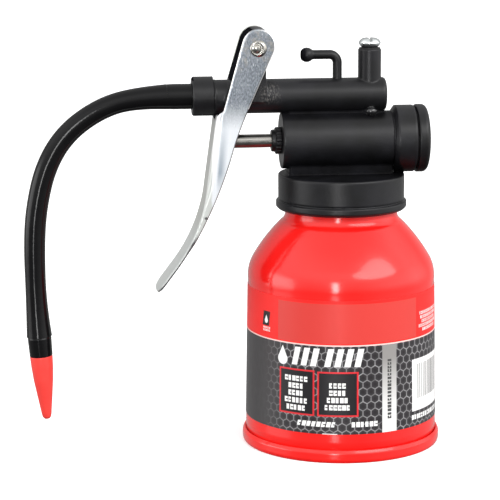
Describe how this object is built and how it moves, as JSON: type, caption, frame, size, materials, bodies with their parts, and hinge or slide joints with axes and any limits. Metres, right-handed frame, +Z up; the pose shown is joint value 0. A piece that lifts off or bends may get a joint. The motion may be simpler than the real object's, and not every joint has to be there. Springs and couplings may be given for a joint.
{
  "type": "oil can",
  "caption": "Trigger-action oil can with a red steel reservoir, black pump head and flexible drooping spout with a red nozzle.",
  "frame": {"origin": "centre of the can's base, on the surface it stands on", "axes": "+Z up along the can's axis; the pump lies along X, with the spout towards -X and the rear plug towards +X"},
  "size_m": [0.1858, 0.0888, 0.1869],
  "materials": {
    "red_enamel": "gloss enamel",
    "label_print": "printed gloss wrap",
    "black_cast": "satin moulded",
    "black_rubber": "matt",
    "zinc_steel": "bright zinc plate",
    "bright_steel": "ground",
    "spring_steel": "drawn wire",
    "clear_plastic": "natural polyethylene",
    "brass": "turned brass",
    "hose_black": "gloss",
    "red_plastic": "matt moulded"
  },
  "bodies": {
    "can": {"can_body": "red_enamel", "can_base": "red_enamel", "label_wrap": "label_print"},
    "cap_seal": {"neck_gasket": "black_rubber"},
    "pump": {"pump_body": "black_cast", "hang_hook": "black_cast", "gland_nut": "black_cast", "rod_seal": "black_rubber", "end_cap": "black_cast", "end_cap_gasket": "black_rubber", "return_spring": "spring_steel", "inlet_seat": "brass", "dip_tube": "clear_plastic", "intake_strainer": "clear_plastic", "outlet_spring": "spring_steel", "valve_screw": "zinc_steel", "valve_washer": "black_rubber", "spout_nut": "black_cast", "spout_washer": "black_rubber", "hose_barb": "brass", "spout_ferrule": "hose_black", "spout_hose": "hose_black", "nozzle_ferrule": "hose_black", "nozzle_tip": "red_plastic"},
    "lever": {"trigger": "zinc_steel", "pivot_rivet": "zinc_steel"},
    "plunger": {"plunger_rod": "bright_steel", "piston": "brass", "piston_seal": "black_rubber", "piston_nut": "zinc_steel"},
    "intake_check": {"inlet_ball": "bright_steel"},
    "outlet_check": {"outlet_ball": "bright_steel"}
  },
  "joints": [
    {"name": "head_lift", "type": "slide", "parent": "can", "child": "cap_seal", "axis": [0, 0, 1], "range_m": [0, 0.125]},
    {"name": "head_turn", "type": "hinge", "parent": "cap_seal", "child": "pump", "pos_m": [0, 0, 0.117], "axis": [0, 0, 1], "range_deg": [0, 900]},
    {"name": "trigger_pull", "type": "hinge", "parent": "pump", "child": "lever", "pos_m": [-0.0379, 0, 0.1784], "axis": [0, -1, 0], "range_deg": [0, 16], "stiffness_Nm_per_rad": 0.8, "springref_deg": -20.05},
    {"name": "plunger_stroke", "type": "slide", "parent": "pump", "child": "plunger", "axis": [1, 0, 0], "range_m": [0, 0.012], "deforming": ["return_spring"]},
    {"name": "inlet_lift", "type": "slide", "parent": "pump", "child": "intake_check", "axis": [0, 0, 1], "range_m": [0, 0.001]},
    {"name": "outlet_lift", "type": "slide", "parent": "pump", "child": "outlet_check", "axis": [0, 0, 1], "range_m": [0, 0.001], "stiffness_N_per_m": 40, "springref_m": -0.002, "deforming": ["outlet_spring"]}
  ],
  "couplings": [
    {"joint": "plunger_stroke", "follows": "trigger_pull", "m_per_rad": 0.0425}
  ]
}
